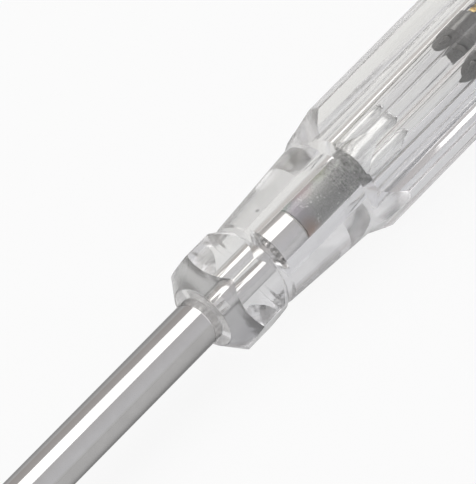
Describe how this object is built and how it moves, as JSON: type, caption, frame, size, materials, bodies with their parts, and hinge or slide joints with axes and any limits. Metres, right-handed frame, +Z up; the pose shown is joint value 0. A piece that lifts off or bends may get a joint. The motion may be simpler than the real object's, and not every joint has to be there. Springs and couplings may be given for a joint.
{
  "type": "circuit test light",
  "caption": "Test light with a clear fluted screwdriver handle, chromed shaft with a needle, an inner lamp and a screw cap for the lead.",
  "frame": {"origin": "on the tool's axis at the front face of the handle's hexagonal collar, where the probe shaft leaves it", "axes": "+X along the tool from the needle to the cap, +Z up with two grip ridges below"},
  "size_m": [0.1904, 0.022, 0.02],
  "materials": {
    "clear_plastic": "clear cellulose acetate, polished",
    "chrome": "bright chrome plate on steel",
    "hardened_steel": "ground hardened steel",
    "zinc_plate": "zinc plate with a thin chromate film",
    "white_nylon": "natural nylon",
    "brass": "plain brass",
    "solder": "tinned",
    "black_glass": "black lamp glass",
    "nickel_plate": "nickel plate",
    "lamp_glass": "clear soda glass",
    "nickel_wire": "drawn wire",
    "tungsten": "dull tungsten",
    "dark_nickel": "dark nickel plate",
    "spring_steel": "bright spring wire",
    "pale_plastic": "ivory moulded plastic",
    "pale_rubber": "pale silicone rubber",
    "black_rubber": "black rubber"
  },
  "bodies": {
    "handle": {"handle_body": "clear_plastic", "probe_shaft": "chrome", "probe_needle": "hardened_steel", "lamp_socket": "zinc_plate", "insulating_bush": "white_nylon", "centre_contact": "brass", "lamp_tip": "solder", "lamp_insulator": "black_glass", "lamp_shell": "nickel_plate", "lamp_glass": "lamp_glass", "lamp_stem": "lamp_glass", "lamp_wires": "nickel_wire", "lamp_filament": "tungsten", "contact_rails": "nickel_wire", "contact_cup": "dark_nickel", "lead_terminal": "dark_nickel", "clamp_screw": "brass", "contact_spring": "spring_steel"},
    "spring_seat": {"spring_washer": "zinc_plate"},
    "cap": {"end_cap": "pale_plastic", "cap_seal": "pale_rubber", "cable_grommet": "black_rubber"}
  },
  "joints": [
    {"name": "cap_travel", "type": "slide", "parent": "handle", "child": "spring_seat", "axis": [1, 0, 0], "range_m": [0, 0.0075], "deforming": ["contact_spring"]},
    {"name": "cap_turn", "type": "hinge", "parent": "spring_seat", "child": "cap", "pos_m": [0.088, 0, 0], "axis": [1, 0, 0], "range_deg": [0, 2160]}
  ],
  "couplings": [
    {"joint": "cap_turn", "follows": "cap_travel", "rad_per_m": 5026.5}
  ]
}
